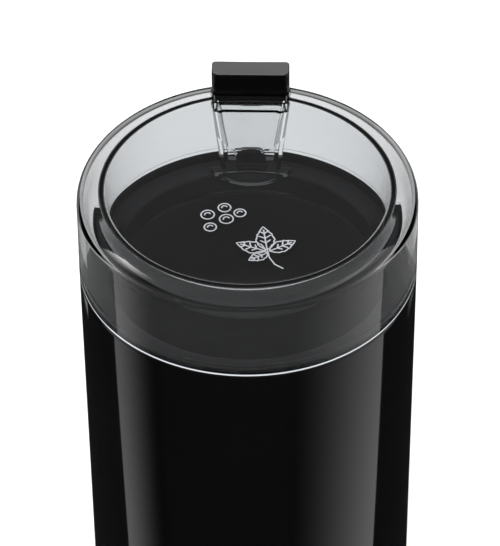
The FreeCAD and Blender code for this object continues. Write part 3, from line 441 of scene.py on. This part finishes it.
def makeHousing(spec):
    inner = radius - spec["wall"]
    bottom = bodyLow[2]
    rim = deck + spec["rimHeight"]
    ledge = spec["ledgeTop"]
    profile = rounded([
        (spec["bottomRadius"], bottom, spec["bottomRound"]),
        (radius, deck, spec["topRound"]),
        (inner + spec["rimWall"], deck, spec["rimFootRound"]),
        (inner + spec["rimWall"], rim, spec["rimRound"]),
        (inner, rim, spec["rimRound"]),
        (inner, ledge),
        (inner - spec["ledge"], ledge),
        (inner - spec["ledge"], ledge - spec["ledgeThick"] / 2),
        (inner, ledge - spec["ledgeThick"]),
        (spec["bottomRadius"] - spec["wall"], bottom),
    ])
    shell = lathe(profile, 256)
    near, far = spec["inletSpan"]
    bore = spec["inletRadius"]
    hole = lathe([(0, near), (bore, near), (bore, far), (0, far)], 64, "Y", (0, 0, spec["inletHeight"]))
    low, high = spec["slotSpan"]
    notch = slotCutter(slot, ledge + low, ledge + high)
    shell = combine(shell, "DIFFERENCE", [hole, notch])
    piece = addObject("housing_shell", shell, blackGloss, "base", 30)
    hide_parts("housing")


makeHousing(housing)
print("housing made")

# Grinding bowl
bowl = {
    "mouth": 35.9 * mm,
    "mouthDepth": 7 * mm,
    "mouthRound": 0.7 * mm,
    "stepRound": 0.5 * mm,
    "inside": 34.4 * mm,
    "wall": 1.6 * mm,
    "floor": deck - 44 * mm,
    "floorFlat": 22 * mm,
    "floorRise": 8 * mm,
    "floorRound": 10 * mm,
    "underRound": 3 * mm,
    "cornerCut": 3 * mm,
    "cornerShare": 0.6,          # how much of the cut lies above the corner
    "towerRadius": 7 * mm,
    "towerTaper": 1 * mm,
    "towerHeight": 3 * mm,
    "towerRounds": (1.0 * mm, 0.5 * mm),
    "bore": 3.9 * mm,
    "flange": 2.2 * mm,
    "flangeRadius": 41.1 * mm,
    "flangeRound": 0.3 * mm,
    "mountCircle": 15 * mm,
    "mountRadius": 4 * mm,
    "mountBore": 1.3 * mm,
    "mountDrop": 2 * mm,
    "mountShare": 0.7,           # of the floor's wall, left between boss and inside
    "slotSpan": (-4.1 * mm, 1 * mm),         # from the deck
}


def bowlProfile(spec):
    wall = spec["wall"]
    floor = spec["floor"]
    slope = math.atan(spec["floorRise"] / (spec["inside"] - spec["floorFlat"]))
    outerFlat = spec["floorFlat"] + wall * math.tan(slope / 2)
    outerRise = spec["floorRise"] - wall * math.tan((math.pi / 2 - slope) / 2)
    cut = spec["cornerCut"]
    root, crest = spec["towerRounds"]
    ledge = deck - spec["mouthDepth"]
    return rounded([
        (spec["bore"], floor - wall),
        (outerFlat, floor - wall, spec["underRound"]),
        (spec["inside"] + wall - cut, floor + outerRise - cut * math.tan(slope)),
        (spec["inside"] + wall, floor + outerRise + cut * spec["cornerShare"]),
        (spec["inside"] + wall, deck - spec["mouthDepth"] - wall),
        (spec["mouth"] + wall, ledge),
        (spec["mouth"] + wall, deck - spec["flange"]),
        (spec["flangeRadius"], deck - spec["flange"]),
        (spec["flangeRadius"], deck, spec["flangeRound"]),
        (spec["mouth"], deck, spec["mouthRound"]),
        (spec["mouth"], ledge, spec["stepRound"]),
        (spec["inside"], ledge, spec["stepRound"]),
        (spec["inside"], floor + spec["floorRise"], spec["floorRound"]),
        (spec["floorFlat"], floor, spec["floorRound"]),
        (spec["towerRadius"], floor, root),
        (spec["towerRadius"] - spec["towerTaper"], floor + spec["towerHeight"], crest),
        (spec["bore"], floor + spec["towerHeight"]),
    ], 8)


def makeBowl(spec):
    wall = spec["wall"]
    floor = spec["floor"]
    below, above = spec["slotSpan"]
    shell = combine(lathe(bowlProfile(spec), 224), "DIFFERENCE", [slotCutter(slot, deck + below, deck + above)])
    bosses = []
    for i in range(4):
        turn = math.radians(45 + 90 * i)
        spot = (spec["mountCircle"] * math.cos(turn), spec["mountCircle"] * math.sin(turn), 0)
        low = floor - wall - spec["mountDrop"]
        high = floor - wall * spec["mountShare"]
        bore, size = spec["mountBore"], spec["mountRadius"]
        bosses.append(lathe([(bore, low), (size, low), (size, high), (bore, high)], 40, "Z", spot))
    piece = addObject("bowl_shell", joined([shell] + bosses), blackSatin, "base", 35)
    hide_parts("grinding_bowl")


makeBowl(bowl)
print("bowl made")

# Clear lid
lid = {
    "wall": 2.0 * mm,
    "plate": 2.4 * mm,
    "shoulder": 5.2 * mm,
    "innerShoulder": 2.6 * mm,
    "bottom": deck + 0.1 * mm,
    "bottomRound": 0.35 * mm,
    "step": 3.0 * mm,
    "stepOuter": 42.5 * mm,
    "stepRound": 0.2 * mm,
    "rebate": 40.9 * mm,
    # band at the lid's outer foot that gets the painted highlight
    "highlightBandHeight": 0.7 * mm,
    "highlightBandDepth": 0.6 * mm,
    "skirtTop": 38.0 * mm,
    "skirtWaist": 34.9 * mm,
    "waistHeight": 6 * mm,
    "waistRound": 30 * mm,
    "skirtTopWall": 0.9 * mm,
    "skirtWall": 1.6 * mm,
    "skirtDrop": 5.5 * mm,
    "skirtRootRound": 0.5 * mm,
    "skirtEndRound": 0.4 * mm,
    "channelTop": 9.3 * mm,
    "channelBottom": 6.8 * mm,
    "channelWall": 1.1 * mm,
    "channelFront": 36.5 * mm,
    "channelBack": 41.2 * mm,
    "blockFront": 34.9 * mm,
    "blockSink": 0.4 * mm,       # into the outer wall
    "shelfReach": 28.7 * mm,
    "shelfRadius": 12.5 * mm,
    "shelfThick": 1.4 * mm,
    "shelfBevel": 0.25 * mm,
    "capSink": 3.2 * mm,
    "capGap": 0.3 * mm,
    "wellDepth": 6.5 * mm,
    "overcut": 1 * mm,           # of the cutters past a face
    "blockLift": 0.01 * mm,      # keep the added pieces off the lid's lower face
    "shelfLift": 0.02 * mm,
}
cap = {
    "width": 20.4 * mm,
    "front": 35.8 * mm,
    "back": 42.6 * mm,
    "middle": 39.2 * mm,
    "cornerRound": 1.7 * mm,
    "cornerShare": 0.9,          # of an inset or a gap, taken by the corners' radius
    "backShare": 0.7,            # of the front corners' radius
    "hollowDepth": 1.1 * mm,
    "edgeRound": 0.6 * mm,
    "edgeSteps": 6,
    "foot": 0.3 * mm,
    "padShares": (0.85, 0.65, 0.45, 0.25, 0.1),
    "satinSheenFrom": 0.7,            # upward part of a face's normal, above which the cap's top gets its satin finish and painted sheen
}


def capOutline(spec, spread):
    half = spec["width"] / 2 + spread
    back = spec["back"] + spread
    turn = math.degrees(math.acos(half / back))
    front = spec["front"] - spread
    bow = arc(back, turn, 180 - turn, 14)
    bend = spec["cornerRound"] + spread * spec["cornerShare"]
    corners = [(-half, front, bend), (half, front, bend)]
    bend *= spec["backShare"]
    corners += [(*bow[0], bend)] + bow[2:-2] + [(*bow[-1], bend)]
    return rounded(corners, 5)


def lidProfile(spec):
    inner = radius - spec["wall"]
    under = lidTop - spec["plate"]
    bottom = spec["bottom"]
    skirtIn = spec["skirtWaist"] - spec["skirtWall"]
    waist = deck + spec["waistHeight"]
    return rounded([
        (0, lidTop),
        (radius, lidTop, spec["shoulder"]),
        (radius, bottom + spec["highlightBandHeight"]),
        (radius, bottom, spec["bottomRound"]),
        (spec["stepOuter"], bottom, spec["stepRound"]),
        (spec["stepOuter"], bottom + spec["step"], spec["stepRound"]),
        (inner, bottom + spec["step"], spec["stepRound"]),
        (inner, under, spec["innerShoulder"]),
        (spec["skirtTop"], under, spec["skirtRootRound"]),
        (spec["skirtWaist"], waist, spec["waistRound"]),
        (spec["skirtWaist"], deck - spec["skirtDrop"], spec["skirtEndRound"]),
        (skirtIn, deck - spec["skirtDrop"], spec["skirtEndRound"]),
        (skirtIn, waist, spec["waistRound"]),
        (spec["skirtTop"] - spec["skirtTopWall"], under, spec["skirtRootRound"]),
        (0, under),
    ], 10)


def makeLid(spec):
    bottom = spec["bottom"]
    top = lidTop - spec["capSink"]
    over = spec["overcut"]
    # added: the channel's block and the shelf in front of its foot
    high = spec["channelTop"] + spec["channelWall"]
    low = spec["channelBottom"] + spec["channelWall"]
    foot = bottom + spec["blockLift"]
    block = prism([(-high, top), (high, top), (low, foot), (-low, foot)],
                  spec["blockFront"], radius - spec["wall"] + spec["blockSink"], "XZ")
    reach = spec["shelfReach"] + spec["shelfRadius"]
    half = math.degrees(math.acos((reach - spec["channelFront"]) / spec["shelfRadius"]))
    nose = arc(spec["shelfRadius"], 270 - half, 270 + half, 40, (0, reach))
    shelf = prism(nose, bottom + spec["shelfLift"], bottom + spec["shelfThick"], bevel=spec["shelfBevel"])
    shell = combine(lathe(lidProfile(spec), 256), "UNION", [block, shelf])
    # cut: the cap's well, the channel and the rebate over the housing's rim
    well = prism(capOutline(cap, spec["capGap"]), lidTop - spec["wellDepth"], lidTop + over)
    high, low = spec["channelTop"], spec["channelBottom"]
    channel = prism([(-high, top), (high, top), (low, bottom - over), (-low, bottom - over)],
                    spec["channelFront"], spec["channelBack"], "XZ")
    step = bottom + spec["step"]
    rebate = lathe([(spec["rebate"], deck - over), (spec["stepOuter"], deck - over),
                    (spec["stepOuter"], step), (spec["rebate"], step)], 256)
    shell = combine(shell, "DIFFERENCE", [well, channel, rebate])
    piece = addObject("lid_clear", shell, clearLid, "lid", 32)
    piece.visible_shadow = False

    # faces of the outer foot band, painted pale as a highlight
    def highlightBand(face):
        across, deep, up = face.center
        return math.hypot(across, deep) > radius - spec["highlightBandDepth"] and up < bottom + spec["highlightBandHeight"]

    markFaces(piece, paintedRimHighlight, highlightBand)
    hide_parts("lid_shell")


def makeCap(spec):
    low = capLow[2]
    foot = spec["foot"]
    bend = spec["edgeRound"]
    middle = spec["middle"]

    def height(across):                          # the finger pad dips between its two sides
        return capHigh[2] - spec["hollowDepth"] * (1 - (2 * across / spec["width"]) ** 2)

    rings = [[(x, y, low) for x, y in capOutline(spec, -foot)],
             [(x, y, low + foot) for x, y in capOutline(spec, 0)]]
    for k in range(spec["edgeSteps"] + 1):
        turn = math.radians(90 / spec["edgeSteps"] * k)
        outline = capOutline(spec, -bend * (1 - math.cos(turn)))
        rings.append([(x, y, height(x) - bend * (1 - math.sin(turn))) for x, y in outline])
    inner = capOutline(spec, -bend)
    for share in spec["padShares"]:
        spots = [(x * share, middle + (y - middle) * share) for x, y in inner]
        rings.append([(x, y, height(x)) for x, y in spots])
    build = bmesh.new()
    rows = [[build.verts.new(point) for point in ring] for ring in rings]
    pole = build.verts.new((0, middle, height(0)))
    for lower, upper in zip(rows, rows[1:]):
        bridge(build, lower, upper, True)
    last = rows[-1]
    for i in range(len(last)):
        build.faces.new((last[i], last[(i + 1) % len(last)], pole))
    build.faces.new(rows[0])
    bmesh.ops.recalc_face_normals(build, faces=build.faces)
    piece = addObject("cap_shell", toMesh("cap", build), blackGloss, "button", 60)
    # the upward faces get the satin top with its painted sheen
    markFaces(piece, capSatinAndSheen, lambda face: face.normal.z > spec["satinSheenFrom"])
    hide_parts("button_cap")


# Raised ornament on the lid's plate: a sprig of leaves and some peppercorns
ornament = {
    "line": 0.2 * mm,
    "rise": 0.02 * mm,
    "flatten": 0.5,
    "leaves": [
        # foot across, foot deep, direction (degrees), length, width (mm)
        (5.6, -25.6, 98, 9.0, 4.6),
        (5.2, -26.0, 158, 8.0, 4.2),
        (6.2, -26.0, 32, 7.6, 4.0),
        (5.8, -26.6, 212, 5.6, 3.2),
    ],
    "leafSteps": 12,
    "leafSwell": 0.8,            # below 1, widest nearer the foot
    "leafTeeth": (0.08, 9),      # share of the width, number of half waves
    "midrib": 0.86,              # shares of the length
    "veins": (0.3, 0.5, 0.7),
    "veinRun": 0.12,
    "veinReach": 0.34,           # share of the width
    "stem": [(5.6, -25.6), (6.2, -28.4), (7.6, -31.0), (9.8, -32.6)],
    # across, deep, radius (mm)
    "corns": [(-9.8, -12.2, 1.7), (-5.6, -9.4, 1.6), (-5.0, -13.8, 1.75), (-9.0, -17.0, 1.55), (-1.6, -11.4, 1.5)],
    "cornArc": (0, 345, 23),     # degrees from and to, steps
    "glint": 0.45,
    "glintArc": (20, 200, 8),
}


def leafPaths(spec, across, deep, direction, length, width):
    turn = Matrix.Rotation(math.radians(direction), 2)
    foot = Vector((across, deep))
    steps = spec["leafSteps"]
    depth, waves = spec["leafTeeth"]
    edge = []
    for side, order in ((1, range(steps + 1)), (-1, range(steps - 1, 0, -1))):
        for k in order:
            along = k / steps
            tooth = 1 + depth * math.cos(waves * math.pi * along)
            half = side * width / 2 * math.sin(math.pi * along ** spec["leafSwell"]) * tooth
            edge.append(foot + turn @ Vector((length * along, half)))
    midrib = [foot + turn @ Vector((length * k / 6 * spec["midrib"], 0)) for k in range(7)]
    paths = [(edge, True), (midrib, False)]
    for share in spec["veins"]:
        for side in (1, -1):
            reach = side * width * spec["veinReach"] * math.sin(math.pi * share)
            start = foot + turn @ Vector((length * share, 0))
            paths.append(([start, foot + turn @ Vector((length * (share + spec["veinRun"]), reach))], False))
    return paths


def makeOrnament(spec):
    paths = []
    for leaf in spec["leaves"]:
        paths += leafPaths(spec, *leaf)
    paths.append(([Vector(point) for point in spec["stem"]], False))
    for across, deep, size in spec["corns"]:
        paths.append(([Vector(point) for point in arc(size, *spec["cornArc"], (across, deep))], True))
        glint = arc(size * spec["glint"], *spec["glintArc"], (across, deep))
        paths.append(([Vector(point) for point in glint], False))
    curve = bpy.data.curves.new("ornament", "CURVE")
    curve.dimensions = "3D"
    curve.bevel_depth = spec["line"]
    curve.bevel_resolution = 2
    curve.use_fill_caps = True
    for points, closed in paths:
        spline = curve.splines.new("POLY")
        spline.points.add(len(points) - 1)
        spline.use_cyclic_u = closed
        for target, point in zip(spline.points, points):
            target.co = (point.x * mm, point.y * mm, 0, 1)
    drawn = linked("drawn", curve)
    mesh = evaluated(drawn)
    bpy.data.objects.remove(drawn)
    lift = Matrix.Translation((0, 0, lidTop + spec["rise"]))
    mesh.transform(lift @ Matrix.Diagonal((1, 1, spec["flatten"], 1)))
    piece = addObject("lid_ornament", mesh, paleLine, "lid", 60)
    piece.visible_shadow = False


makeLid(lid)
makeCap(cap)
makeOrnament(ornament)
print("lid and cap made")

# Materials of the pieces that keep their own mesh
kept = {
    "button_plunger": plungerClear,
    "switch_bar": blackSatin,
    "blade": groundSteel,
    "blade_nut": groundSteel,
    "bowl_gasket": rubber,
    "rubber_mounts": rubber,
    "feet": rubber,
    "cord_grommet": rubber,
    "shaft_seal": rubber,
    "base_cover": blackSatin,
    "motor_shaft": shaftSteel,
    "lever_pin": shaftSteel,
    "base_screws": zincSteel,
    "motor_screws": zincSteel,
    "mount_screws": zincSteel,
    "clamp_screws": zincSteel,
    "lower_bracket": zincSteel,
    "upper_bracket": zincSteel,
    "switch_bracket": zincSteel,
    "switch_lever": zincSteel,
    "field_core": laminated,
    "armature_core": laminated,
    "field_coils": copperWire,
    "armature_windings": copperWire,
    "commutator": brassPart,
    "switch_terminals": brassPart,
    "brush_holders": brassPart,
    "lower_bearing": bronzeBush,
    "upper_bearing": bronzeBush,
    "brush_springs": springWire,
    "carbon_brushes": carbon,
    "switch_case": greyPlastic,
    "terminal_block": greyPlastic,
    "cord_clamp": greyPlastic,
    "cooling_fan": fanPlastic,
    "suppressor": yellowCase,
}
for name, material in kept.items():
    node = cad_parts[name]
    node.data.materials.clear()
    node.data.materials.append(material)
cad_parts["button_plunger"].visible_shadow = False
print("kept nodes dressed")

# Floor, lights and sky
studio = {
    "floor": 0.93,
    "floorHalf": 6,
    "skyPlain": 1.0,
    "skyRise": (0.3, 0.85),      # height of a reflected ray, where the sky starts and ends to brighten
    "skyGlossy": (0.012, 0.28),  # in reflections: low, high
    "insideRise": (-0.35, 0.2),
    "skyInside": (0.42, 0.1),    # in reflections within the clear walls: below the horizon, above it
    "strips": [
        # degrees from the front: first, last, dark, bright; elevation: low, high; share at the foot; strength
        ("left_strip", (-58, -98, -62, -97), (-54, 8), 1.0, 0.8),
        ("right_strip", (28, 101.5, 28, 98), (-54, 8), 1.0, 0.92),
        ("left_high_strip", (-58, -98, -62, -97), (8, 44), 0.07, 11.0),
        ("right_high_strip", (28, 101.5, 28, 98), (8, 36), 0.35, 2.6),
        ("back_left_strip", (-164, -136, -168, -130), (-40, 8), 1.0, 0.6),
        ("back_right_strip", (136, 164, 130, 168), (-40, 8), 1.0, 0.6),
    ],
    "stripDistance": 1.5,
    "stripCells": 16,
    "softboxes": [
        # place, aim, size in metres; watts
        ("top_softbox", (0.0, 0.25, 1.5), (0, 0, 0.1), (1.0, 0.8), 10),
        ("front_softbox", (-0.3, -1.2, 1.2), (0, 0, 0.1), (0.8, 0.8), 4),
    ],
}


def makeFloor(spec):
    build = bmesh.new()
    bmesh.ops.create_grid(build, x_segments=8, y_segments=8, size=spec["floorHalf"])
    floor = linked("floor", toMesh("floor", build))
    finish = Finish("floor paper", Specular_IOR_Level=0.1)
    fibre = finish.noise(9.0)
    level = spec["floor"]
    finish.set(Base_Color=finish.blend(fibre, grey(level), grey(level + 0.02)), Roughness=0.8 + 0.1 * fibre)
    floor.data.materials.append(finish.material)
    floor.visible_glossy = False
    floor.visible_transmission = False


def makeSky(spec):
    # plain for the eye and for soft light, dark low down in reflections
    world = bpy.data.worlds.new("sky")
    bpy.context.scene.world = world
    world.use_nodes = True
    world.node_tree.nodes.clear()
    sky = Nodes(world.node_tree)
    height = sky.part(sky.node("ShaderNodeTexCoord", out="Generated"), 2)
    outside = height.between(*spec["skyRise"], *spec["skyGlossy"], "LINEAR")
    inside = height.between(*spec["insideRise"], *spec["skyInside"], "LINEAR")
    bounced = sky.bounces("Glossy").math("GREATER_THAN", atLeastOne)
    passed = sky.bounces("Transmission").math("GREATER_THAN", atLeastOne)
    level = sky.node("ShaderNodeMix", {"data_type": "FLOAT"}, {0: passed, 2: outside, 3: inside})
    plain = sky.node("ShaderNodeBackground", None, {"Color": grey(spec["skyPlain"])})
    glossy = sky.node("ShaderNodeBackground", None, {"Color": level})
    mixed = sky.node("ShaderNodeMixShader", None, {0: bounced, 1: plain, 2: glossy})
    sky.plug(mixed, world.node_tree.nodes.new("ShaderNodeOutputWorld").inputs["Surface"])


def stripLight(name, dark, bright, low, high, start, strength):
    # glows only where a first reflection meets it, brighter towards one side and from low to high
    finish = Finish(name, Emission_Strength=strength, Roughness=1.0, Specular_IOR_Level=0.0)
    place = finish.place()
    turn = finish.part(place, 0).math("ARCTAN2", 0 - finish.part(place, 1))
    rise = finish.part(place, 2).between(low, high)
    aside = turn.between(math.radians(dark), math.radians(bright))
    finish.set(Base_Color=grey(0.0), Emission_Color=aside * (start + (1 - start) * rise))
    bounced = finish.bounces("Glossy").math("GREATER_THAN", atLeastOne)
    outside = finish.bounces("Transmission").math("LESS_THAN", atLeastOne)
    finish.cover(bounced * outside, finish.node("ShaderNodeBsdfTransparent"))
    return finish.material


def makeStrips(spec):
    # curved light panels round the object, seen only in reflections
    reach = spec["stripDistance"]
    cells = spec["stripCells"]
    for name, (first, last, dark, bright), (low, high), start, strength in spec["strips"]:
        build = bmesh.new()
        rows = []
        for j in range(cells + 1):
            rise = math.radians(low + (high - low) * j / cells)
            flat = reach * math.cos(rise)
            turns = [math.radians(first + (last - first) * i / cells) for i in range(cells + 1)]
            rows.append([build.verts.new((flat * math.sin(turn), -flat * math.cos(turn),
                                          deck + reach * math.sin(rise))) for turn in turns])
        for lower, upper in zip(rows, rows[1:]):
            bridge(build, lower, upper, False)
        panel = linked(name, toMesh(name, build))
        ends = [deck + reach * math.sin(math.radians(tilt)) for tilt in (low, high)]
        panel.data.materials.append(stripLight(name, dark, bright, *ends, start, strength))
        panel.visible_camera = False
        panel.visible_diffuse = False
        panel.visible_shadow = False


def makeSoftbox(name, place, aim, size, power):
    data = bpy.data.lights.new(name, "AREA")
    data.shape = "RECTANGLE"
    data.size, data.size_y = size
    data.energy = power
    light = linked(name, data)
    light.location = place
    light.rotation_mode = "QUATERNION"
    light.rotation_quaternion = (Vector(place) - Vector(aim)).to_track_quat("Z", "Y")
    light.visible_camera = False
    light.visible_glossy = False
    light.visible_transmission = False


makeFloor(studio)
makeSky(studio)
makeStrips(studio)
for softbox in studio["softboxes"]:
    makeSoftbox(*softbox)
print("studio made")
